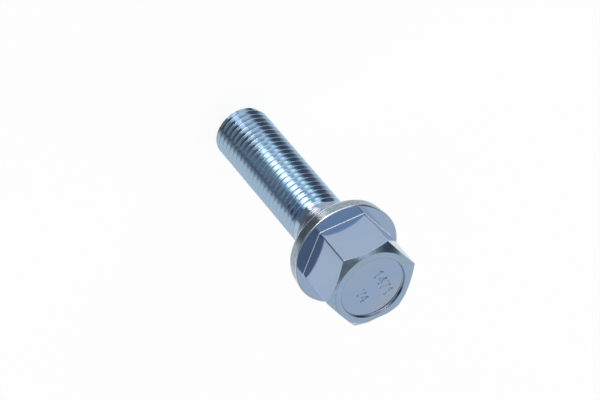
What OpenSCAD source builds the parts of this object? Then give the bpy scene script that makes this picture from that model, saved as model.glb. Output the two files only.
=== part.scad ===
// Long wheel bolt with a hexagon head, a round collar and a ball seat, forged in one piece
// and standing on its threaded end. The axis is Z and the origin is on it, where the seat meets the collar.

/* [Shank] */
// Major diameter of the thread
thread_d = 12; // [10:0.5:16]
// Pitch of the thread, which sets how far the point is cut back
thread_pitch = 1.5; // [1:0.25:2]
// Length of the shank with its seat, from the back of the collar to the point
shank_len = 43.5; // [20:0.5:70]
// Fillet between the shank and the seat
shank_fillet = 0.8; // [0.3:0.1:1.5]
// How far the end of the point lies inside the root of the thread
point_inset = 0.18; // [0.1:0.02:0.4]
// Rounding of both edges of the point's chamfer
point_round = 0.3; // [0.1:0.05:0.4]

/* [Seat] */
// Radius of the ball that the seat is a part of
seat_ball_r = 13; // [12.5:0.5:16]

/* [Collar] */
// Diameter of the collar at its top, to the sharp corner that the rounding takes off
collar_d = 22.5; // [20.5:0.1:24.5]
// Thickness of the collar, from the seat to its top
collar_t = 3.2; // [2.4:0.1:6]
// How far the rim draws in on each side, from top to seat
collar_draft = 0.4; // [0:0.05:0.6]
// Rounding of the collar's top edge
collar_round = 0.3; // [0.2:0.05:0.6]

/* [Hexagon] */
// Width of the hexagon across its flats
hex_af = 17; // [15:0.5:17.5]
// Height of the hexagon above the collar
hex_h = 10.85; // [7:0.05:16]
// How far each upright corner is cut back from the sharp hexagon
hex_corner_cut = 0.16; // [0.05:0.01:0.5]
// Slope of the chamfer that rounds the corners off at the end of the head
chamfer_angle = 30; // [20:1:40]
// Diameter of the flat end face inside the chamfer
face_d = 16.4; // [15:0.1:16.8]

/* [Recess] */
// Diameter of the shallow round recess in the end face
recess_d = 13.8; // [9:0.1:14.2]
// Depth of the recess
recess_depth = 0.5; // [0.2:0.05:1.5]
// Fillet round the recess floor
recess_fillet = 0.2; // [0.05:0.05:0.2]

/* [Hidden] */
$fn = 120;
sides = 6;
// Depth of a standard external thread, as a share of its pitch
thread_cut = 0.6134;
point_drop = thread_cut * thread_pitch + point_inset;
thread_r = thread_d / 2;
point_r = thread_r - point_drop;
rim_top_r = collar_d / 2;
rim_low_r = rim_top_r - collar_draft;
// Kept larger than the collar, so that the ball always reaches its rim
ball_r = max(seat_ball_r, rim_low_r + 1);
ball_z = sqrt(pow(ball_r, 2) - pow(rim_low_r, 2));
point_z = -shank_len;
head_z = collar_t + hex_h;
recess_z = head_z - recess_depth;
// Past the hexagon's corners, so that the chamfer's cone leaves nothing of them outside
chamfer_r = hex_af;
chamfer_drop = (chamfer_r - face_d / 2) * tan(chamfer_angle);
// Extra depth that a cut or a joined form runs past a face
past = 1;

// One closed 2-D outline whose corners are rounded by true arcs. The points run counter-clockwise, and
// each has its own radius, with 0 for a sharp corner.
module rounded(points, radii) {
    count = len(points);
    function unit(v) = v / norm(v);
    function before(i) = unit(points[(i + count - 1) % count] - points[i]);
    function after(i) = unit(points[(i + 1) % count] - points[i]);
    function half(i) = acos(before(i) * after(i)) / 2;
    function reach(i) = radii[i] / tan(half(i));
    function centre(i) = points[i] + unit(before(i) + after(i)) * radii[i] / sin(half(i));
    function turns_out(i) = before(i)[0] * after(i)[1] - before(i)[1] * after(i)[0] < 0;
    cut = [for (i = [0 : count - 1]) each radii[i] == 0 ? [points[i]]
        : [points[i] + before(i) * reach(i), points[i] + after(i) * reach(i)]];
    difference() {
        union() {
            polygon(cut);
            for (i = [0 : count - 1]) if (radii[i] > 0 && turns_out(i)) translate(centre(i)) circle(radii[i]);
        }
        for (i = [0 : count - 1]) if (radii[i] > 0 && !turns_out(i)) translate(centre(i)) circle(radii[i]);
    }
}

// Half section of the plain stand-in for the threaded shank, up to inside the collar
module shank_section() {
    rounded([[0, point_z], [point_r, point_z], [thread_r, point_z + point_drop], [thread_r, past], [0, past]],
        [0, point_round, point_round, 0, 0]);
}

// Half section of the ball under the collar, with the fillet that leads it into the shank
module seat_section() {
    fillet_r = thread_r + shank_fillet;
    fillet_z = ball_z - sqrt(pow(ball_r + shank_fillet, 2) - pow(fillet_r, 2));
    share = ball_r / (ball_r + shank_fillet);
    touch = [fillet_r * share, ball_z + (fillet_z - ball_z) * share];
    intersection() {
        translate([0, ball_z]) circle(ball_r);
        polygon([[0, past], [0, -ball_r], [rim_low_r, -ball_r], [rim_low_r, 0], [rim_low_r - past / 2, past]]);
    }
    difference() {
        polygon([[0, fillet_z], [fillet_r, fillet_z], touch, [0, touch[1]]]);
        translate([fillet_r, fillet_z]) circle(shank_fillet);
    }
}

// Half section of the collar with its drafted rim
module collar_section() {
    rounded([[0, 0], [rim_low_r, 0], [rim_top_r, collar_t], [0, collar_t]], [0, 0, collar_round, 0]);
}

// Shank, seat and collar, turned about the axis
module turned_body() {
    rotate_extrude() union() {
        shank_section();
        seat_section();
        collar_section();
    }
}

// Six-sided wrench grip, from inside the collar to the end face, its corners cut by one shallow cone
module hexagon() {
    corner_r = hex_af / 2 / cos(180 / sides);
    intersection() {
        translate([0, 0, collar_t - past]) linear_extrude(hex_h + past) intersection() {
            circle(corner_r, $fn = sides);
            circle(corner_r - hex_corner_cut);
        }
        rotate_extrude() polygon([[0, 0], [chamfer_r, 0], [chamfer_r, head_z - chamfer_drop],
            [face_d / 2, head_z], [0, head_z]]);
    }
}

// The shallow round pan in the end face
module recess() {
    recess_r = recess_d / 2;
    rotate_extrude() rounded(
        [[0, recess_z], [recess_r, recess_z], [recess_r, head_z + past], [0, head_z + past]],
        [0, recess_fillet, 0, 0]);
}

module wheel_bolt() {
    color("lightsteelblue") difference() {
        union() {
            turned_body();
            hexagon();
        }
        recess();
    }
}

wheel_bolt();
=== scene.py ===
"""Looks of a long zinc plated wheel bolt: its meshes, its finishes, the studio round it and the camera."""
import logging
import math
from collections.abc import Callable
from dataclasses import dataclass, field
from enum import Enum

import bmesh
import bpy
from mathutils import Matrix, Vector


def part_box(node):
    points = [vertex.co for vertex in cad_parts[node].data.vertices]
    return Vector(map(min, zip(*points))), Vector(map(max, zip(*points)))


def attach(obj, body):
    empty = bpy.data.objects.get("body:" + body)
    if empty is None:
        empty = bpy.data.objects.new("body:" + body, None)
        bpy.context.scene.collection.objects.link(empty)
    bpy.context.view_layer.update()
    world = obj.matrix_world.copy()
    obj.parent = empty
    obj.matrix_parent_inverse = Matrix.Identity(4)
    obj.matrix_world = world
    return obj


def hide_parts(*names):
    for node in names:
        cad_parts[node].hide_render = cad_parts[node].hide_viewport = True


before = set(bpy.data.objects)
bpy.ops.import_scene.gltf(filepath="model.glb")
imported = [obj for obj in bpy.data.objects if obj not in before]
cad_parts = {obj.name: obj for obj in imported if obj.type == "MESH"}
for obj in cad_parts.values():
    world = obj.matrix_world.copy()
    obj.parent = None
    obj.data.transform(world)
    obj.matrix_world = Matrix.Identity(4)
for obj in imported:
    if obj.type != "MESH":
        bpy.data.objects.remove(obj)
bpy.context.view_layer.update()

NODE = "wheel_bolt"
MM = 0.001
# Straight pieces in one turn about the axis
TURN_STEPS = 144
# Distance within which points count as one, in millimetres
WELD = 0.0008
# Half of the angle that one flat of the hexagon takes up, about the axis
HALF_SIDE = math.radians(30)
# Half of the angle between the two flanks of a thread's groove
HALF_GROOVE = math.radians(30)

Triple = tuple[float, float, float]
Ring = Callable[[float], tuple[float, float]]
Geometry = list[bmesh.types.BMVert | bmesh.types.BMEdge | bmesh.types.BMFace]
NodeValue = float | tuple | Vector | bpy.types.NodeSocket

log = logging.getLogger("wheel_bolt")


class Zone(Enum):
    """The parts of the bolt's skin that were finished in different ways, in material order. The zones along
    the hexagon's foot and along the collar's and seat's rounded edges carry painted highlights, and the
    zone round the recess wall carries painted shade.
    """

    THREAD = 0
    SEAT = 1
    RIM = 2
    COLLAR_TOP = 3
    FLATS = 4
    CHAMFER = 5
    END_FACE = 6
    RECESS = 7
    POINT = 8
    # Painted highlight along the hexagon's foot
    ROOT = 9
    # Painted highlight along the collar's and the seat's rounded edges
    EDGE = 10
    # Painted shade round the recess wall and its lip
    WALL = 11


def fillet(before: Vector, corner: Vector, after: Vector, radius: float, steps: int) -> list[Vector]:
    """Points along the arc that rounds one corner of an outline.

    Args:
        before: the outline's point before the corner.
        corner: the corner itself.
        after: the outline's point after the corner.
        radius: the arc's radius.
        steps: how many straight pieces stand for the arc.

    Returns:
        The arc's points, from the first tangent point to the last.
    """
    back, on = (before - corner).normalized(), (after - corner).normalized()
    half = back.angle(on) / 2
    centre = corner + (back + on).normalized() * radius / math.sin(half)
    first = (corner + back * radius / math.tan(half) - centre).normalized()
    last = (corner + on * radius / math.tan(half) - centre).normalized()
    return [centre + first.slerp(last, k / steps) * radius for k in range(steps + 1)]


def smooth_share(value: float) -> float:
    """A share from 0 to 1 that starts and ends without a kink."""
    share = min(max(value, 0.0), 1.0)
    return share * share * (3 - 2 * share)


def string_of(bm: bmesh.types.BMesh, spots: list[Vector]) -> Geometry:
    """Adds a string of edges through some points.

    Args:
        bm: the mesh to add to.
        spots: the points, in order.

    Returns:
        The new vertices and edges.
    """
    verts = [bm.verts.new(p) for p in spots]
    return verts + [bm.edges.new(pair) for pair in zip(verts, verts[1:])]


def even_normals(mesh: bpy.types.Mesh) -> list[Triple]:
    """The mean direction of the faces round each point, the wide ones counting most.

    Args:
        mesh: the mesh.

    Returns:
        One direction for each of its points.
    """
    spots = [v.co.copy() for v in mesh.vertices]
    sums = [Vector((0, 0, 0)) for _ in spots]
    for face in mesh.polygons:
        ring = [spots[v] for v in face.vertices]
        across = Vector((0, 0, 0))
        for low, high in zip(ring, ring[1:] + ring[:1]):
            across += (low - ring[0]).cross(high - ring[0])
        for v in face.vertices:
            sums[v] += across
    return [tuple(total.normalized()) for total in sums]


@dataclass(frozen=True)
class BoltSizes:
    """The bolt's sizes in millimetres, with its axis on Z and the back of the collar at height 0.

    The end of the head was struck off centre by punch_shift. The collar's upper edge lies lower by up to
    low_depth, over low_half degrees on each side of low_middle, and levels out over low_soft degrees.
    """

    tip_z: float
    head_z: float
    thread_r: float = 5.96
    pitch: float = 1.5
    thread_cut: float = 0.6134
    point_inset: float = 0.18
    point_round: float = 0.3
    shank_fillet: float = 1.5
    ball_r: float = 13.0
    collar_r: float = 11.25
    collar_t: float = 3.2
    collar_draft: float = 0.4
    collar_round: float = 0.3
    flat_r: float = 8.47
    hex_round: float = 0.4
    chamfer: float = math.radians(30)
    face_r: float = 8.22
    recess_r: float = 6.88
    recess_depth: float = 0.5
    punch_shift: tuple[float, float] = (-0.38, 0.27)
    low_middle: float = -13
    low_half: float = 72
    low_soft: float = 28
    low_depth: float = 0.62

    @property
    def rim_low_r(self) -> float:
        """Radius of the rim where it meets the seat."""
        return self.collar_r - self.collar_draft

    @property
    def ball_z(self) -> float:
        """Height of the centre of the ball that the seat is a part of."""
        return math.sqrt(self.ball_r ** 2 - self.rim_low_r ** 2)

    @property
    def point_r(self) -> float:
        """Radius of the flat end of the point."""
        return self.thread_r - self.thread_cut * self.pitch - self.point_inset

    @property
    def recess_z(self) -> float:
        """Height of the recess floor."""
        return self.head_z - self.recess_depth

    def hexagon_r(self, angle: float) -> float:
        """Distance from the axis to the hexagon's outline in one direction.

        Args:
            angle: the direction about the axis, with a corner at 0.

        Returns:
            The outline's radius there, with its corners rounded.
        """
        off = abs((angle + HALF_SIDE) % (2 * HALF_SIDE) - HALF_SIDE)
        centre = (self.flat_r - self.hex_round) / math.cos(HALF_SIDE)
        touch_x, touch_y = self.hex_round * math.cos(HALF_SIDE), self.hex_round * math.sin(HALF_SIDE)
        if off >= math.atan2(touch_y, centre + touch_x):
            return self.flat_r / math.cos(HALF_SIDE - off)
        return centre * math.cos(off) + math.sqrt(self.hex_round ** 2 - (centre * math.sin(off)) ** 2)


@dataclass
class Thread:
    """The rolled right-hand thread with its chamfered point.

    Its groove ends at last_turn, counted in turns from the height of the first crest, and fades over
    runout turns before that. It also fades over foot_soft millimetres below foot_z, where the plain neck
    starts.

    Known fault: the mesh is open in two places. The strips of neighbouring turns end 0.05 mm apart on the
    crest, which leaves a slit along the whole thread. The slit also breaks the rim of the point, so the
    point's end face isn't made.
    """

    sizes: BoltSizes
    crest_z: float = -0.6
    crest_share: float = 0.46
    crest_half: float = 0.075
    root_half: float = 0.11
    round_steps: int = 3
    point_steps: int = 4
    foot_z: float = -6.55
    foot_soft: float = 0.3
    last_turn: float = -4.97
    runout: float = 0.3

    def __post_init__(self) -> None:
        """Works out the rounded edge of the point once for all points of the thread."""
        s = self.sizes
        drop = s.thread_r - s.point_r
        self.point_arc = fillet(Vector((0, s.tip_z)), Vector((s.point_r, s.tip_z)),
                                Vector((s.thread_r, s.tip_z + drop)), s.point_round, self.point_steps)

    def tooth(self) -> list[Vector]:
        """Outline of one turn, with rounded crest and root.

        Returns:
            Its points from crest to crest, as radius and height.
        """
        s = self.sizes
        crest, root = s.thread_r, s.thread_r - s.thread_cut * s.pitch
        flank = (crest - root) * math.tan(HALF_GROOVE)
        top = (s.pitch - 2 * flank) * self.crest_share
        corners = [Vector((crest, -top / 2)), Vector((crest, top / 2)), Vector((root, top / 2 + flank)),
                   Vector((root, s.pitch - top / 2 - flank)), Vector((crest, s.pitch - top / 2)),
                   Vector((crest, s.pitch + top / 2))]
        points = []
        reaches = (self.crest_half, self.root_half, self.root_half, self.crest_half)
        for k, reach in enumerate(reaches, 1):
            radius = reach / math.tan(HALF_GROOVE)
            points += fillet(corners[k - 1], corners[k], corners[k + 1], radius, self.round_steps)
        return points

    def limit_r(self, height: float) -> float:
        """Largest radius that the chamfered point leaves at a height.

        Args:
            height: the height, in millimetres.

        Returns:
            The radius.
        """
        s = self.sizes
        if height >= self.point_arc[-1].y:
            return s.point_r + (height - s.tip_z)
        for low, high in zip(self.point_arc, self.point_arc[1:]):
            if height <= high.y:
                share = max(height - low.y, 0.0) / (high.y - low.y)
                return low.x + (high.x - low.x) * share
        return s.point_r

    def place(self, spot: Vector) -> Vector:
        """Moves one point of the endless thread to where it lies on the real shank.

        Args:
            spot: the point on the endless thread.

        Returns:
            The point after the run-out, the chamfer and the two ends.
        """
        s = self.sizes
        radius, height = spot.xy.length, spot.z
        part = math.atan2(spot.y, spot.x) % math.tau / math.tau
        turn = math.floor((height - self.crest_z) / s.pitch - part + 1e-6) + part
        cut = smooth_share((self.last_turn - turn) / self.runout)
        cut = min(cut, smooth_share((self.foot_z - height) / self.foot_soft))
        radius = s.thread_r + (radius - s.thread_r) * cut
        height = min(max(height, s.tip_z), self.foot_z)
        radius = min(radius, self.limit_r(height))
        if height == s.tip_z:
            radius = self.limit_r(s.tip_z)
        flat = spot.xy.normalized() * radius
        return Vector((flat.x, flat.y, height))

    def one_turn(self, bm: bmesh.types.BMesh) -> Geometry:
        """Adds the strip of one turn, low enough for the thread's lowest one.

        Args:
            bm: the mesh to add to.

        Returns:
            The strip's vertices, edges and faces.
        """
        s = self.sizes
        others = set(bm.verts)
        low_z = self.crest_z + (math.floor((s.tip_z - self.crest_z) / s.pitch) - 1) * s.pitch
        made = string_of(bm, [Vector((p.x, 0, low_z + p.y)) for p in self.tooth()])
        bmesh.ops.spin(bm, geom=made, cent=(0, 0, 0), axis=(0, 0, 1), dvec=(0, 0, s.pitch / TURN_STEPS),
                       angle=math.tau, steps=TURN_STEPS, use_merge=False)
        verts = [v for v in bm.verts if v not in others]
        edges = {e for v in verts for e in v.link_edges}
        faces = {f for v in verts for f in v.link_faces}
        return [*verts, *edges, *faces]

    def build(self, bm: bmesh.types.BMesh) -> None:
        """Adds the threaded shank, open along its crest, at the point and under the seat.

        Args:
            bm: the mesh to add to.
        """
        s = self.sizes
        turn = self.one_turn(bm)
        spots = [g for g in turn if isinstance(g, bmesh.types.BMVert)]
        for k in range(1, math.ceil((self.foot_z - s.tip_z) / s.pitch) + 3):
            copy = bmesh.ops.duplicate(bm, geom=turn)["geom"]
            verts = [g for g in copy if isinstance(g, bmesh.types.BMVert)]
            bmesh.ops.translate(bm, vec=(0, 0, k * s.pitch), verts=verts)
            spots += verts
        for vert in spots:
            vert.co = self.place(vert.co)
        bmesh.ops.remove_doubles(bm, verts=bm.verts, dist=WELD)
        bmesh.ops.dissolve_degenerate(bm, edges=bm.edges, dist=WELD)
        rim = [e for e in bm.edges if e.is_boundary and abs(e.verts[0].co.z - s.tip_z) < WELD]
        bmesh.ops.edgeloop_fill(bm, edges=rim)


@dataclass
class TurnedBody:
    """The plain neck, the ball seat, the collar's rim and the outer part of the collar's flat top."""

    sizes: BoltSizes
    foot_z: float
    seat_round: float = 0.8
    top_width: float = 0.1
    fillet_steps: int = 8
    ball_steps: int = 16
    seat_edge_steps: int = 6
    rim_edge_steps: int = 8

    def outline(self) -> list[Vector]:
        """Half section from the shank's foot to the collar's flat top.

        Returns:
            Its points, as radius and height.
        """
        s = self.sizes
        hollow = Vector((s.thread_r + s.shank_fillet, 0))
        hollow.y = s.ball_z - math.sqrt((s.ball_r + s.shank_fillet) ** 2 - hollow.x ** 2)
        middle = Vector((0, s.ball_z))
        to_ball = (middle - hollow).normalized()
        points = [Vector((s.thread_r, self.foot_z))]
        last = math.atan2(to_ball.y, to_ball.x)
        for k in range(self.fillet_steps + 1):
            angle = math.pi + (last - math.pi) * k / self.fillet_steps
            points.append(hollow + Vector((math.cos(angle), math.sin(angle))) * s.shank_fillet)
        corner = Vector((s.rim_low_r, 0))
        top = Vector((s.collar_r, s.collar_t))
        along = Vector((s.ball_z, s.rim_low_r)).normalized()
        rounded = fillet(corner - along, corner, top, self.seat_round, self.seat_edge_steps)
        first = math.atan2(-to_ball.y, -to_ball.x)
        end = math.atan2(rounded[0].y - middle.y, rounded[0].x)
        for k in range(1, self.ball_steps):
            angle = first + (end - first) * k / self.ball_steps
            points.append(middle + Vector((math.cos(angle), math.sin(angle))) * s.ball_r)
        points += rounded
        points += fillet(corner, top, Vector((0, s.collar_t)), s.collar_round, self.rim_edge_steps)
        points.append(Vector((points[-1].x - self.top_width, s.collar_t)))
        return points

    def build(self, bm: bmesh.types.BMesh) -> list[bmesh.types.BMEdge]:
        """Adds the turned surface.

        Args:
            bm: the mesh to add to.

        Returns:
            The loop of edges at its upper, inner end.
        """
        points = self.outline()
        made = string_of(bm, [Vector((p.x, 0, p.y)) for p in points])
        bmesh.ops.spin(bm, geom=made, cent=(0, 0, 0), axis=(0, 0, 1), dvec=(0, 0, 0),
                       angle=math.tau, steps=TURN_STEPS, use_merge=True)
        inner = points[-1].x + WELD
        return [e for e in bm.edges
                if e.is_boundary and e.verts[0].co.z > 0 and e.verts[0].co.xy.length < inner]


@dataclass
class Head:
    """The hexagon, grown upwards ring by ring, with an end that was struck a little off its centre.

    The end blends from flat to chamfer over face_blend on each side of its edge, and ring_gap keeps its
    rings apart where they run into the hexagon's edge.
    """

    sizes: BoltSizes
    corner_steps: int = 4
    arc_steps: int = 4
    root_fillet: float = 0.11
    edge_round: float = 0.13
    face_blend: float = 0.1
    ring_gap: float = 0.02
    lip: float = 0.14
    lip_steps: int = 3
    floor_fillet: float = 0.22
    floor_steps: int = 5
    floor_shares: tuple[float, ...] = (0.85, 0.55)

    def outline_loop(self, bm: bmesh.types.BMesh) -> list[bmesh.types.BMEdge]:
        """Adds a closed loop of edges whose points are close at the six corners, ready to be placed.

        Args:
            bm: the mesh to add to.

        Returns:
            The loop's edges.
        """
        s = self.sizes
        ring = bmesh.ops.create_circle(bm, cap_ends=True, segments=6, radius=s.flat_r / math.cos(HALF_SIDE),
                                       matrix=Matrix.Rotation(math.radians(-90), 4, "Z"))["verts"]
        reach = s.hex_round * math.tan(HALF_SIDE)
        rounded = bmesh.ops.bevel(bm, geom=ring, offset=reach, offset_type="OFFSET", profile=0.5,
                                  segments=self.corner_steps, affect="VERTICES", material=-1)
        face = rounded["faces"][0] if rounded["faces"] else rounded["verts"][0].link_faces[0]
        sides = sorted(face.edges, key=lambda e: -e.calc_length())[:6]
        cuts = TURN_STEPS // 6 - self.corner_steps - 1
        bmesh.ops.subdivide_edges(bm, edges=sides, cuts=cuts)
        edges = list(face.edges)
        bmesh.ops.delete(bm, geom=[face], context="FACES_ONLY")
        return edges

    def punched_r(self, angle: float, radius: float) -> float:
        """Distance from the axis to a circle about the middle of the struck end.

        Args:
            angle: the direction about the axis.
            radius: the circle's radius.

        Returns:
            The distance in that direction.
        """
        shift = Vector(self.sizes.punch_shift)
        along = shift.dot(Vector((math.cos(angle), math.sin(angle))))
        return along + math.sqrt(along ** 2 - shift.length_squared + radius ** 2)

    def end_slope(self, angle: float, radius: float) -> tuple[float, float]:
        """How the chamfered end lies at one spot.

        Args:
            angle: the spot's direction about the axis.
            radius: its distance from the axis.

        Returns:
            The end's depth below the highest face and its slope there.
        """
        s = self.sizes
        spot = Vector((radius * math.cos(angle), radius * math.sin(angle)))
        past = (spot - Vector(s.punch_shift)).length - s.face_r
        steep, width = math.tan(s.chamfer), self.face_blend
        if past >= width:
            return steep * past, steep
        near = max(past + width, 0.0)
        return steep * near ** 2 / (4 * width), steep * near / (2 * width)

    def side_ring(self, out: float, height: float) -> Ring:
        """A ring that follows the flats at one height."""
        s = self.sizes
        return lambda a: (s.hexagon_r(a) * (1 + out / s.flat_r), height)

    def edge_ring(self, share: float) -> Ring:
        """A ring along the rounded edge between the flats and the end.

        Args:
            share: how far round the edge it lies, with 0 on the flats and 1 on the end.

        Returns:
            The ring.
        """
        s = self.sizes

        def place(angle: float) -> tuple[float, float]:
            """Works out the ring in one direction.

            Args:
                angle: the direction about the axis.

            Returns:
                The ring's radius and height there.
            """
            radius = s.hexagon_r(angle)
            depth, slope = self.end_slope(angle, radius)
            turn = math.pi / 2 - math.atan(slope)
            lean = turn * share
            above = self.edge_round * (math.sin(lean) - math.tan(turn / 2))
            inside = radius - self.edge_round * (1 - math.cos(lean))
            return inside, s.head_z - max(depth - above, self.end_slope(angle, inside)[0])

        return place

    def end_ring(self, past: float, gaps: float) -> Ring:
        """A ring on the end, kept inside the hexagon's edge.

        Args:
            past: its distance past the edge of the flat face.
            gaps: how many ring gaps it keeps from the hexagon's edge.

        Returns:
            The ring.
        """
        s = self.sizes

        def place(angle: float) -> tuple[float, float]:
            """Works out the ring in one direction.

            Args:
                angle: the direction about the axis.

            Returns:
                The ring's radius and height there.
            """
            inside = s.hexagon_r(angle) - self.edge_round - self.ring_gap * gaps
            radius = min(self.punched_r(angle, s.face_r + past), inside)
            return radius, s.head_z - self.end_slope(angle, radius)[0]

        return place

    def rings(self) -> list[Ring]:
        """The rings from root to recess floor.

        Returns:
            For each ring a function of the direction about the axis that gives its radius and height.
        """
        s = self.sizes
        rings = []
        for k in range(self.arc_steps + 1):
            turn = math.radians(90 * k / self.arc_steps)
            rings.append(self.side_ring(self.root_fillet * (1 - math.sin(turn)),
                                        s.collar_t + self.root_fillet * (1 - math.cos(turn))))
        rings += [self.edge_ring(k / self.arc_steps) for k in range(self.arc_steps + 1)]
        rings += [self.end_ring(self.face_blend * k, 3 - k) for k in (2.5, 1, 0.5, 0, -0.5, -1)]
        wall, floor = Vector((s.recess_r, s.head_z)), Vector((s.recess_r, s.recess_z))
        arcs = fillet(Vector((s.face_r, s.head_z)), wall, floor, self.lip, self.lip_steps)
        arcs += fillet(wall, floor, Vector((0, s.recess_z)), self.floor_fillet, self.floor_steps)
        arcs += [Vector((s.recess_r * share, s.recess_z)) for share in self.floor_shares]
        rings += [lambda a, p=p: (self.punched_r(a, p.x), p.y) for p in arcs]
        return rings

    def build(self, bm: bmesh.types.BMesh) -> list[bmesh.types.BMEdge]:
        """Adds the head, closed at the recess floor.

        Args:
            bm: the mesh to add to.

        Returns:
            The loop of edges at its root, on the collar's top.
        """
        root = edges = self.outline_loop(bm)
        for number, ring in enumerate(self.rings()):
            if number:
                made = bmesh.ops.extrude_edge_only(bm, edges=edges)["geom"]
                edges = [g for g in made if isinstance(g, bmesh.types.BMEdge)]
            for vert in {v for e in edges for v in e.verts}:
                angle = math.atan2(vert.co.y, vert.co.x)
                radius, height = ring(angle)
                vert.co = (radius * math.cos(angle), radius * math.sin(angle), height)
        bmesh.ops.edgeloop_fill(bm, edges=edges)
        return root


# The corners of each digit's strokes, as shares of its height
DIGITS = {
    "1": ((0.1, 0.72), (0.35, 1), (0.35, 0)),
    "4": ((0.45, 0), (0.45, 1), (0, 0.35), (0.62, 0.35)),
    "7": ((0, 1), (0.6, 1), (0.2, 0)),
}


@dataclass
class Marks:
    """Plain numbers that stand out from the recess floor, each made of straight ridges.

    Each number is given by its digits, the lower left corner of its first digit from the middle of the
    recess, and the height of a digit.
    """

    sizes: BoltSizes
    numbers: tuple = (("1471", (2.0, -1.75), 2.1), ("74", (1.5, 3.2), 1.8))
    turn: float = math.radians(166)
    digit_step: float = 0.85
    ridge_h: float = 0.09
    ridge_half: float = 0.12
    ridge_lift: float = 0.4

    def ridge(self, bm: bmesh.types.BMesh, start: Vector, end: Vector) -> None:
        """Adds one ridge with sloping sides.

        Args:
            bm: the mesh to add to.
            start: where the ridge starts on the floor.
            end: where it ends.
        """
        along, middle = end - start, (start + end) / 2
        angle = math.atan2(along.y, along.x)
        turn, square = (Matrix.Rotation(a, 4, "Z") for a in (angle, math.radians(45)))
        size = Matrix.Diagonal((along.length / 2 + self.ridge_half, self.ridge_half, self.ridge_h, 1))
        place = Matrix.Translation((*middle, self.sizes.recess_z + self.ridge_h * self.ridge_lift))
        bmesh.ops.create_cone(bm, cap_ends=True, segments=4, radius1=math.sqrt(2), radius2=math.sqrt(0.5),
                              depth=1, matrix=place @ turn @ size @ square)

    def number(self, bm: bmesh.types.BMesh, text: str, start: Vector, height: float) -> None:
        """Adds one number.

        Args:
            bm: the mesh to add to.
            text: its digits.
            start: the lower left corner of the first digit, from the middle of the recess.
            height: the height of a digit.
        """
        on = Vector((math.cos(self.turn), math.sin(self.turn)))
        up = Vector((-math.sin(self.turn), math.cos(self.turn)))
        for place, digit in enumerate(text):
            corner = Vector(self.sizes.punch_shift) + start + on * place * height * self.digit_step
            spots = [corner + on * x * height + up * y * height for x, y in DIGITS[digit]]
            for low, high in zip(spots, spots[1:]):
                self.ridge(bm, low, high)

    def build(self, bm: bmesh.types.BMesh) -> None:
        """Adds all the numbers."""
        for text, start, height in self.numbers:
            self.number(bm, text, Vector(start), height)


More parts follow.
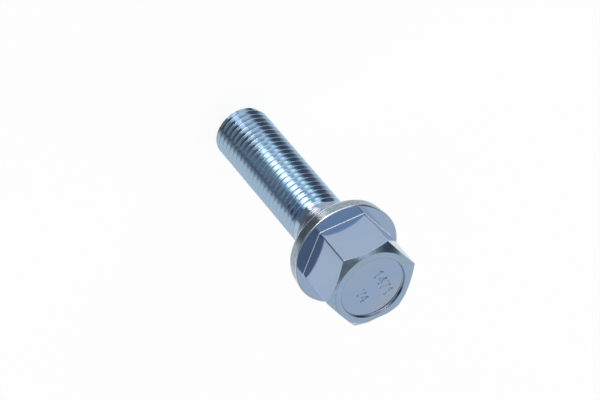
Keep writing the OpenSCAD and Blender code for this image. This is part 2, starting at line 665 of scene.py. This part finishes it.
@dataclass
class WheelBolt:
    """The whole bolt as one mesh, open where Thread says.

    The fields after the materials bound the zones: two heights near the seat's edge, how far the rim's
    upper edge leans, the height of the hexagon's foot, half the width of the recess wall, and how far the
    flat face and the chamfer lean. The bands at the seat's edge, the rim's upper edge and the hexagon's
    foot carry painted highlights, and the band round the recess wall carries painted shade.
    """

    sizes: BoltSizes
    finishes_and_painted_light: dict[Zone, bpy.types.Material] = field(default_factory=dict)
    seat_top: float = -0.3
    seat_edge_top: float = 0.15
    rim_edge_lean: tuple[float, float] = (0.3, 0.72)
    rim_round_share: float = 0.1
    root_h: float = 0.3
    wall_half: float = 0.12
    face_lean: float = 0.9
    chamfer_lean: float = 0.6

    def zone_of(self, face: bmesh.types.BMFace, foot_z: float) -> Zone:
        """The way in which one face's stretch of skin was finished; three zones stand for painted
        highlights and painted shade instead.

        Args:
            face: the face, in millimetres.
            foot_z: the height where the thread has run out.

        Returns:
            The face's zone.
        """
        s = self.sizes
        spot = face.calc_center_median()
        radius, height, lean = spot.xy.length, spot.z, face.normal.z
        from_punch = (spot.xy - Vector(s.punch_shift)).length
        outside = radius > s.rim_low_r
        least, most = self.rim_edge_lean
        if height < foot_z:
            return Zone.POINT if height < s.tip_z + WELD else Zone.THREAD
        if height < self.seat_top:
            return Zone.SEAT
        # Painted highlight: the seat's rounded edge and the rim's upper rounding get a pale colour
        if height < self.seat_edge_top or height < s.collar_t and least < lean < most and outside:
            return Zone.EDGE
        if height < s.collar_t - self.rim_round_share * s.collar_round and outside:
            return Zone.RIM
        if height < s.collar_t + WELD:
            return Zone.COLLAR_TOP
        # Painted highlight: the hexagon's foot gets a pale colour
        if height < s.collar_t + self.root_h:
            return Zone.ROOT
        # Painted shade: the recess wall and its lip get a dark colour
        if s.recess_r - self.wall_half < from_punch < s.recess_r + self.wall_half:
            return Zone.WALL
        if from_punch < s.recess_r:
            return Zone.RECESS
        if from_punch < s.face_r and lean > self.face_lean:
            return Zone.END_FACE
        return Zone.CHAMFER if lean > self.chamfer_lean else Zone.FLATS

    def settle_edge(self, mesh: bpy.types.Mesh) -> None:
        """Lowers the collar's upper edge on the side where the blank filled the die less.

        Args:
            mesh: the bolt's mesh, in millimetres.
        """
        s = self.sizes
        for vert in mesh.vertices:
            if vert.co.z > s.collar_t / 2 and vert.co.xy.length > s.rim_low_r - s.collar_round:
                off = abs(math.degrees(math.atan2(vert.co.y, vert.co.x)) - s.low_middle)
                vert.co.z -= s.low_depth * smooth_share((s.low_half - off) / s.low_soft)

    def build(self) -> bpy.types.Object:
        """Makes the bolt's object.

        Returns:
            The object, at the origin, with its place in its mesh.
        """
        bm = bmesh.new()
        thread = Thread(self.sizes)
        outer = TurnedBody(self.sizes, thread.foot_z).build(bm)
        root = Head(self.sizes).build(bm)
        Marks(self.sizes).build(bm)
        bmesh.ops.bridge_loops(bm, edges=outer + root)
        thread.build(bm)
        bmesh.ops.recalc_face_normals(bm, faces=bm.faces)
        bm.normal_update()
        for face in bm.faces:
            face.smooth = True
            face.material_index = self.zone_of(face, thread.foot_z).value
        open_edges = sum(not e.is_manifold for e in bm.edges)
        mesh = bpy.data.meshes.new("bolt")
        bm.to_mesh(mesh)
        bm.free()
        for zone in Zone:
            mesh.materials.append(self.finishes_and_painted_light.get(zone))
        normals = even_normals(mesh)
        self.settle_edge(mesh)
        mesh.normals_split_custom_set_from_vertices(normals)
        mesh.transform(Matrix.Scale(MM, 4))
        bolt = bpy.data.objects.new("bolt", mesh)
        bpy.context.scene.collection.objects.link(bolt)
        log.info("bolt: %d open edges", open_edges)
        return bolt


def feed(tree: bpy.types.NodeTree, sockets: list, values: tuple[NodeValue, ...]) -> None:
    """Sets or links sockets in order.

    Args:
        tree: the node tree that the sockets are in.
        sockets: the input sockets.
        values: for each of them a value to set or an output socket to link from.
    """
    for socket, value in zip(sockets, values):
        if isinstance(value, bpy.types.NodeSocket):
            tree.links.new(value, socket)
        else:
            socket.default_value = value


def math_node(tree: bpy.types.NodeTree, operation: str, *values: NodeValue) -> bpy.types.NodeSocket:
    """Adds a Math node.

    Args:
        tree: the node tree to add to.
        operation: the node's operation.
        values: its inputs in order, each a number or a socket to link from.

    Returns:
        The node's output socket.
    """
    node = tree.nodes.new("ShaderNodeMath")
    node.operation = operation
    feed(tree, node.inputs, values)
    return node.outputs[0]


def mixed(tree: bpy.types.NodeTree, share: NodeValue, first: NodeValue,
          second: NodeValue) -> bpy.types.NodeSocket:
    """Adds a mix of two colours.

    Args:
        tree: the node tree to add to.
        share: the second colour's share.
        first: the first colour.
        second: the second colour.

    Returns:
        The mix's output socket.
    """
    node = tree.nodes.new("ShaderNodeMix")
    node.data_type = "RGBA"
    feed(tree, (node.inputs["Factor"], node.inputs["A"], node.inputs["B"]), (share, first, second))
    return node.outputs["Result"]


def noise(tree: bpy.types.NodeTree, place: NodeValue, scale: NodeValue,
          detail: float) -> bpy.types.NodeSocket:
    """Adds a noise texture.

    Args:
        tree: the node tree to add to.
        place: the coordinates that it reads.
        scale: how many waves it has in a metre.
        detail: how many finer layers it has.

    Returns:
        The output socket of its value.
    """
    node = tree.nodes.new("ShaderNodeTexNoise")
    feed(tree, (node.inputs["Vector"], node.inputs["Scale"], node.inputs["Detail"]), (place, scale, detail))
    return node.outputs["Fac"]


def new_group(name: str, inputs: dict[str, str], outputs: dict[str, str]) -> bpy.types.NodeTree:
    """Makes an empty shader node group.

    Args:
        name: the group's name.
        inputs: the kind of each input socket by its name.
        outputs: the kind of each output socket by its name.

    Returns:
        The group, with its input and output nodes in it.
    """
    group = bpy.data.node_groups.new(name, "ShaderNodeTree")
    for side, sockets in (("INPUT", inputs), ("OUTPUT", outputs)):
        for label, kind in sockets.items():
            group.interface.new_socket(label, in_out=side, socket_type="NodeSocket" + kind)
    group.nodes.new("NodeGroupInput").name = "given"
    group.nodes.new("NodeGroupOutput").name = "made"
    return group


def use_group(tree: bpy.types.NodeTree, group: bpy.types.NodeTree,
              **values: NodeValue) -> bpy.types.ShaderNodeGroup:
    """Adds a group node.

    Args:
        tree: the node tree to add to.
        group: the group that the node stands for.
        values: its inputs by name, with underscores for blanks, each a value or a socket to link from.

    Returns:
        The node.
    """
    node = tree.nodes.new("ShaderNodeGroup")
    node.node_tree = group
    for label, value in values.items():
        feed(tree, (node.inputs[label.replace("_", " ")],), (value,))
    return node


@dataclass
class Effects:
    """The node groups that all the bolt's materials share, its painted highlights and painted shade among
    them. Scales are in waves per metre.
    """

    tint_gain: float = 3.2
    tint_shift: float = -1.1
    rough_scale: float = 900
    rough_gain: float = 0.6
    rough_least: float = 0.7
    wave_scale: float = 330
    grain_scale: float = 2600
    turning_scale: float = 1700
    turning_stretch: float = 0.06

    def __post_init__(self) -> None:
        """Makes the groups."""
        self.tint = self.make_tint()
        self.grain = self.make_grain()
        self.turning = self.make_turning()

    def make_tint(self) -> bpy.types.NodeTree:
        """Soft drifts between two passivation tints, with a roughness that varies finely.

        Returns:
            The group.
        """
        group = new_group("passivation_tint", {"Place": "Vector", "First": "Color", "Second": "Color",
                                               "Scale": "Float", "Rough": "Float"},
                          {"Color": "Color", "Roughness": "Float"})
        given, made = group.nodes["given"].outputs, group.nodes["made"].inputs
        drift = noise(group, given["Place"], given["Scale"], 2)
        share = math_node(group, "MULTIPLY_ADD", drift, self.tint_gain, self.tint_shift)
        share = math_node(group, "MINIMUM", math_node(group, "MAXIMUM", share, 0), 1)
        group.links.new(mixed(group, share, given["First"], given["Second"]), made["Color"])
        fine = noise(group, given["Place"], self.rough_scale, 3)
        spread = math_node(group, "MULTIPLY_ADD", fine, self.rough_gain, self.rough_least)
        group.links.new(math_node(group, "MULTIPLY", given["Rough"], spread), made["Roughness"])
        return group

    def make_grain(self) -> bpy.types.NodeTree:
        """Height of a skin with slow waves and fine grain, each with its own strength, in metres.

        Returns:
            The group.
        """
        group = new_group("grain", {"Place": "Vector", "Wave": "Float", "Grain": "Float"},
                          {"Height": "Float"})
        given, made = group.nodes["given"].outputs, group.nodes["made"].inputs
        place = given["Place"]
        slow = math_node(group, "MULTIPLY", noise(group, place, self.wave_scale, 1), given["Wave"])
        fine = math_node(group, "MULTIPLY", noise(group, place, self.grain_scale, 3), given["Grain"])
        group.links.new(math_node(group, "ADD", slow, fine), made["Height"])
        return group

    def make_turning(self) -> bpy.types.NodeTree:
        """Height of fine marks that run round the axis, in metres.

        Returns:
            The group.
        """
        group = new_group("turning_marks", {"Place": "Vector", "Depth": "Float"}, {"Height": "Float"})
        given, made = group.nodes["given"].outputs, group.nodes["made"].inputs
        parts, joined = group.nodes.new("ShaderNodeSeparateXYZ"), group.nodes.new("ShaderNodeCombineXYZ")
        group.links.new(given["Place"], parts.inputs[0])
        squares = [math_node(group, "POWER", parts.outputs[k], 2) for k in (0, 1)]
        out = math_node(group, "SQRT", math_node(group, "ADD", *squares))
        across = math_node(group, "ADD", out, parts.outputs[2])
        slow = [math_node(group, "MULTIPLY", parts.outputs[k], self.turning_stretch) for k in (0, 1)]
        feed(group, joined.inputs, (*slow, across))
        marks = noise(group, joined.outputs[0], self.turning_scale, 2)
        group.links.new(math_node(group, "MULTIPLY", marks, given["Depth"]), made["Height"])
        return group


@dataclass(frozen=True)
class FinishAndPaintedLight:
    """Bright zinc plate over one kind of steel skin, with heights in metres. Two zones use it for painted
    highlights and one for painted shade.
    """

    first: Triple
    second: Triple
    tint_scale: float = 130
    roughness: float = 0.13
    wave: float = 0.00001
    grain: float = 0.0000005
    turning: float = 0.0

    def material(self, name: str, effects: Effects) -> bpy.types.Material:
        """Makes the node material.

        Args:
            name: the material's name.
            effects: the shared node groups.

        Returns:
            The material.
        """
        made = bpy.data.materials.new(name)
        made.use_nodes = True
        tree = made.node_tree
        nodes, links = tree.nodes, tree.links
        shader, bump = nodes["Principled BSDF"], nodes.new("ShaderNodeBump")
        place = nodes.new("ShaderNodeTexCoord").outputs["Object"]
        tint = use_group(tree, effects.tint, Place=place, First=(*self.first, 1), Second=(*self.second, 1),
                         Scale=self.tint_scale, Rough=self.roughness)
        grain = use_group(tree, effects.grain, Place=place, Wave=self.wave, Grain=self.grain)
        turning = use_group(tree, effects.turning, Place=place, Depth=self.turning)
        height = math_node(tree, "ADD", grain.outputs["Height"], turning.outputs["Height"])
        links.new(height, bump.inputs["Height"])
        bump.inputs["Distance"].default_value = 1
        links.new(tint.outputs["Color"], shader.inputs["Base Color"])
        links.new(tint.outputs["Roughness"], shader.inputs["Roughness"])
        links.new(bump.outputs["Normal"], shader.inputs["Normal"])
        shader.inputs["Metallic"].default_value = 1
        return made


FINISHES_AND_PAINTED_LIGHT = {
    Zone.THREAD: FinishAndPaintedLight((0.383, 0.55, 0.713), (0.42, 0.56, 0.713), roughness=0.07, wave=0.000003),
    Zone.SEAT: FinishAndPaintedLight((0.324, 0.386, 0.494), (0.288, 0.35, 0.456), roughness=0.1, turning=0.0006),
    Zone.RIM: FinishAndPaintedLight((0.36, 0.44, 0.513), (0.246, 0.319, 0.371), tint_scale=1500, roughness=0.16,
                     grain=0.00003, turning=0.0001),
    Zone.COLLAR_TOP: FinishAndPaintedLight((0.365, 0.46, 0.63), (0.355, 0.47, 0.645), roughness=0.1),
    Zone.FLATS: FinishAndPaintedLight((0.361, 0.469, 0.621), (0.351, 0.455, 0.631), roughness=0.1),
    Zone.CHAMFER: FinishAndPaintedLight((0.36, 0.49, 0.63), (0.28, 0.39, 0.49), tint_scale=700, roughness=0.16,
                         grain=0.000012),
    Zone.END_FACE: FinishAndPaintedLight((0.345, 0.485, 0.665), (0.35, 0.46, 0.60), tint_scale=300, roughness=0.16,
                          grain=0.000003),
    Zone.RECESS: FinishAndPaintedLight((0.34, 0.455, 0.65), (0.40, 0.47, 0.57), tint_scale=110, roughness=0.14),
    Zone.POINT: FinishAndPaintedLight((0.315, 0.47, 0.65), (0.33, 0.485, 0.66), roughness=0.2),
    # Pale colour for a painted highlight along the hexagon's foot
    Zone.ROOT: FinishAndPaintedLight((0.82, 0.83, 0.9), (0.78, 0.8, 0.88), roughness=0.45),
    # Pale colour for a painted highlight along the collar's upper edge and the seat's edge
    Zone.EDGE: FinishAndPaintedLight((0.72, 0.78, 0.84), (0.60, 0.66, 0.72), tint_scale=900, roughness=0.28,
                      grain=0.00003),
    # Dark colour for painted shade round the recess wall
    Zone.WALL: FinishAndPaintedLight((0.22, 0.28, 0.38), (0.25, 0.30, 0.38), roughness=0.12),
}


def grey(level: float) -> Triple:
    """A colour without a tint."""
    return level, level, level


@dataclass(frozen=True)
class Patch:
    """A soft edged field of the surroundings, with angles in degrees and azimuth 0 the camera's."""

    middle: float
    half_width: float
    low: float
    high: float
    soft: float
    color: Triple


# The surroundings are pale, and each field lies over the ones before it. Below the horizon the floor hides
# the world and shows these fields to the metal, so there bright fields are painted pools of light and dark
# fields painted shade on the floor.
PALE = grey(0.80)
PATCHES = (
    Patch(32, 40, 60, 78, 8, grey(0.24)),
    Patch(96, 35, 22, 46, 12, grey(0.81)),
    Patch(-131, 13, -24, 45, 17, grey(1.05)),
    Patch(16, 69, 41, 86, 22, grey(0.25)),
    Patch(-113, 29, 31, 59, 21, (0.09, 0.10, 0.14)),
    Patch(-81, 38, 18, 33, 14, (0.06, 0.07, 0.10)),
    Patch(-89, 13, -22, 17, 9, (0.07, 0.08, 0.12)),
    Patch(10, 8, -15, 17, 6, grey(1.25)),
    Patch(37, 26, -11, 43, 4, (0.28, 0.30, 0.36)),
    Patch(50, 18, 0, 36, 3, (0.07, 0.08, 0.13)),
    Patch(19, 27, 33, 51, 9, grey(0.96)),
    Patch(-27, 26, 56, 72, 5, grey(1.21)),
    Patch(-31, 30, -17, 45, 17, (1.25, 1.20, 1.15)),
    Patch(-56, 8, -10, -4, 16, grey(5.25)),
    Patch(-59, 14, 37, 38, 2, grey(6.39)),
    Patch(-13, 17, 35, 64, 15, grey(0.02)),
    Patch(-13, 13, -21, 10, 19, (9.00, 7.60, 6.60)),
    Patch(152, 19, 30, 92, 19, grey(0.63)),
    Patch(59, 13, 39, 64, 4, (0.13, 0.09, 0.09)),
    Patch(10, 40, 76, 95, 6, grey(0.23)),
    Patch(0, 179, -95, -20, 4, grey(0.95)),
    # Painted shade on the floor below the horizon, darkening what the rim reflects
    Patch(26, 34, -95, -14, 18, (0.12, 0.13, 0.15)),
    # Painted pool of light on the floor, wholly below the horizon, that the thread near the point reflects
    Patch(-17, 9, -52, -33, 6, (2.50, 2.25, 2.10)),
    # Painted shade on the floor below the horizon, darkening what the rim reflects
    Patch(60, 15, -78, -40, 10, (0.12, 0.13, 0.15)),
    Patch(125, 42, -18, 24, 12, grey(1.05)),
)


def rise(tree: bpy.types.NodeTree, value: bpy.types.NodeSocket,
         width: bpy.types.NodeSocket) -> bpy.types.NodeSocket:
    """Adds a smooth rise from 0 to 1, with its middle where the value is 0.

    Args:
        tree: the node tree to add to.
        value: the value.
        width: over how much of the value it rises.

    Returns:
        The output socket of the rise.
    """
    node = tree.nodes.new("ShaderNodeMapRange")
    node.interpolation_type = "SMOOTHSTEP"
    tree.links.new(math_node(tree, "DIVIDE", value, width), node.inputs["Value"])
    node.inputs["From Min"].default_value = -0.5
    node.inputs["From Max"].default_value = 0.5
    return node.outputs["Result"]


def make_patch() -> bpy.types.NodeTree:
    """Node group that gives 1 inside a stretch of azimuth and elevation and 0 outside it, in radians.

    Returns:
        The group.
    """
    labels = ("Azimuth", "Elevation", "Middle", "Half Width", "Low", "High", "Soft")
    group = new_group("soft_patch", {label: "Float" for label in labels}, {"Mask": "Float"})
    given = group.nodes["given"].outputs
    off = math_node(group, "SUBTRACT", given["Azimuth"], given["Middle"])
    turned = math_node(group, "WRAP", off, math.pi, -math.pi)
    side = math_node(group, "SUBTRACT", given["Half Width"], math_node(group, "ABSOLUTE", turned))
    above = math_node(group, "SUBTRACT", given["Elevation"], given["Low"])
    below = math_node(group, "SUBTRACT", given["High"], given["Elevation"])
    shares = [rise(group, value, given["Soft"]) for value in (side, above, below)]
    mask = math_node(group, "MULTIPLY", math_node(group, "MULTIPLY", shares[0], shares[1]), shares[2])
    group.links.new(mask, group.nodes["made"].inputs["Mask"])
    return group


def make_surroundings(azimuth: float) -> bpy.types.NodeTree:
    """Node group that gives what the studio shows in one direction.

    Args:
        azimuth: where the camera stands, about the upright axis.

    Returns:
        The group, from a direction to a colour.
    """
    group = new_group("surroundings", {"Direction": "Vector"}, {"Color": "Color"})
    parts, unit = group.nodes.new("ShaderNodeSeparateXYZ"), group.nodes.new("ShaderNodeVectorMath")
    unit.operation = "NORMALIZE"
    group.links.new(group.nodes["given"].outputs["Direction"], unit.inputs[0])
    group.links.new(unit.outputs["Vector"], parts.inputs["Vector"])
    turn = math_node(group, "ARCTAN2", parts.outputs["Y"], parts.outputs["X"])
    around = math_node(group, "SUBTRACT", turn, azimuth)
    elevation = math_node(group, "ARCSINE", parts.outputs["Z"])
    patch_group = make_patch()
    color = (*PALE, 1)
    for patch in PATCHES:
        mask = use_group(group, patch_group, Azimuth=around, Elevation=elevation,
                         Middle=math.radians(patch.middle), Half_Width=math.radians(patch.half_width),
                         Low=math.radians(patch.low), High=math.radians(patch.high),
                         Soft=math.radians(patch.soft))
        color = mixed(group, mask.outputs["Mask"], color, (*patch.color, 1))
    group.links.new(color, group.nodes["made"].inputs["Color"])
    return group


@dataclass
class Studio:
    """The pale floor, the soft light from all round and the camera, in metres and radians."""

    floor_z: float
    floor_r: float = 3.0
    floor_sides: int = 96
    floor_paint_level: float = 0.9
    floor_white: float = 1.06
    shadow_share: float = 0.15
    aim: Triple = (0, 0, -16.7 * MM)
    azimuth: float = math.radians(-7.15)
    elevation: float = math.radians(44.72)
    distance: float = 651.2 * MM
    roll: float = math.radians(-139.62)
    lens: float = 195.6

    def floor_paint(self, surroundings: bpy.types.NodeTree) -> bpy.types.Material:
        """Pale paint that the camera sees as white with a faint shadow; for glossy rays it glows with the
        surroundings' fields, painted pools of light and painted shade on the floor.

        Args:
            surroundings: the node group of the surroundings.

        Returns:
            The material.
        """
        paint = bpy.data.materials.new("pale_floor")
        paint.use_nodes = True
        tree = paint.node_tree
        nodes, links = tree.nodes, tree.links
        shader, path = nodes["Principled BSDF"], nodes.new("ShaderNodeLightPath")
        shader.inputs["Base Color"].default_value = (*grey(self.floor_paint_level), 1)
        shader.inputs["Specular IOR Level"].default_value = 0
        glow, mix = nodes.new("ShaderNodeEmission"), nodes.new("ShaderNodeMixShader")
        off = nodes.new("ShaderNodeVectorMath")
        off.operation = "SUBTRACT"
        feed(tree, off.inputs, (nodes.new("ShaderNodeNewGeometry").outputs["Position"], self.aim))
        # Painted light: for glossy rays the floor glows with the surroundings' bright and dark fields, as
        # seen from the aim point
        shown = use_group(tree, surroundings, Direction=off.outputs["Vector"])
        white = (*grey(self.floor_white), 1)
        color = mixed(tree, path.outputs["Is Camera Ray"], shown.outputs["Color"], white)
        links.new(color, glow.inputs["Color"])
        seen = math_node(tree, "MAXIMUM", path.outputs["Is Camera Ray"], path.outputs["Is Glossy Ray"])
        seen = math_node(tree, "MAXIMUM", seen, path.outputs["Is Transmission Ray"])
        share = math_node(tree, "MULTIPLY", seen, 1 - self.shadow_share)
        feed(tree, mix.inputs, (share, shader.outputs["BSDF"], glow.outputs["Emission"]))
        links.new(mix.outputs["Shader"], nodes["Material Output"].inputs["Surface"])
        return paint

    def floor(self, paint: bpy.types.Material) -> None:
        """Lays the floor.

        Args:
            paint: the floor's material.
        """
        bm = bmesh.new()
        bmesh.ops.create_circle(bm, cap_ends=True, segments=self.floor_sides, radius=self.floor_r,
                                matrix=Matrix.Translation((0, 0, self.floor_z)))
        mesh = bpy.data.meshes.new("floor")
        bm.to_mesh(mesh)
        bm.free()
        mesh.materials.append(paint)
        floor = bpy.data.objects.new("floor", mesh)
        bpy.context.scene.collection.objects.link(floor)

    def world(self, surroundings: bpy.types.NodeTree) -> None:
        """Sets the light that comes from all round, white where the camera sees it.

        Args:
            surroundings: the node group of the surroundings.
        """
        world = bpy.data.worlds.new("studio")
        world.use_nodes = True
        tree = world.node_tree
        ray = tree.nodes.new("ShaderNodeTexCoord").outputs["Generated"]
        shown = use_group(tree, surroundings, Direction=ray)
        camera_ray = tree.nodes.new("ShaderNodeLightPath").outputs["Is Camera Ray"]
        color = mixed(tree, camera_ray, shown.outputs["Color"], (1, 1, 1, 1))
        tree.links.new(color, tree.nodes["Background"].inputs["Color"])
        bpy.context.scene.world = world

    def camera(self) -> None:
        """Sets up the camera at the photograph's viewing angle."""
        lens = bpy.data.cameras.new("camera")
        lens.lens = self.lens
        lens.sensor_width = 36
        lens.clip_start, lens.clip_end = 0.01, 10
        camera = bpy.data.objects.new("camera", lens)
        bpy.context.scene.collection.objects.link(camera)
        flat, up = math.cos(self.elevation), math.sin(self.elevation)
        back = Vector((flat * math.cos(self.azimuth), flat * math.sin(self.azimuth), up))
        turn = (-back).to_track_quat("-Z", "Y").to_matrix().to_4x4() @ Matrix.Rotation(-self.roll, 4, "Z")
        camera.matrix_world = Matrix.Translation(Vector(self.aim) + back * self.distance) @ turn
        bpy.context.scene.camera = camera

    def build(self) -> None:
        """Builds all of it."""
        surroundings = make_surroundings(self.azimuth)
        self.floor(self.floor_paint(surroundings))
        self.world(surroundings)
        self.camera()
        bpy.context.scene.view_settings.view_transform = "Standard"


def main() -> None:
    """Builds the bolt and its studio."""
    logging.basicConfig(level=logging.INFO, format="%(message)s")
    low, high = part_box(NODE)
    sizes = BoltSizes(tip_z=low.z / MM, head_z=high.z / MM)
    effects = Effects()
    finishes_and_painted_light = {zone: FINISHES_AND_PAINTED_LIGHT[zone].material(f"zinc_{zone.name.lower()}", effects) for zone in Zone}
    bolt = WheelBolt(sizes, finishes_and_painted_light).build()
    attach(bolt, "root")
    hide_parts(NODE)
    log.info("%s: %d faces", bolt.name, len(bolt.data.polygons))
    Studio(floor_z=low.z).build()
    log.info("studio: floor, light and camera")


if __name__ == "__main__":
    main()
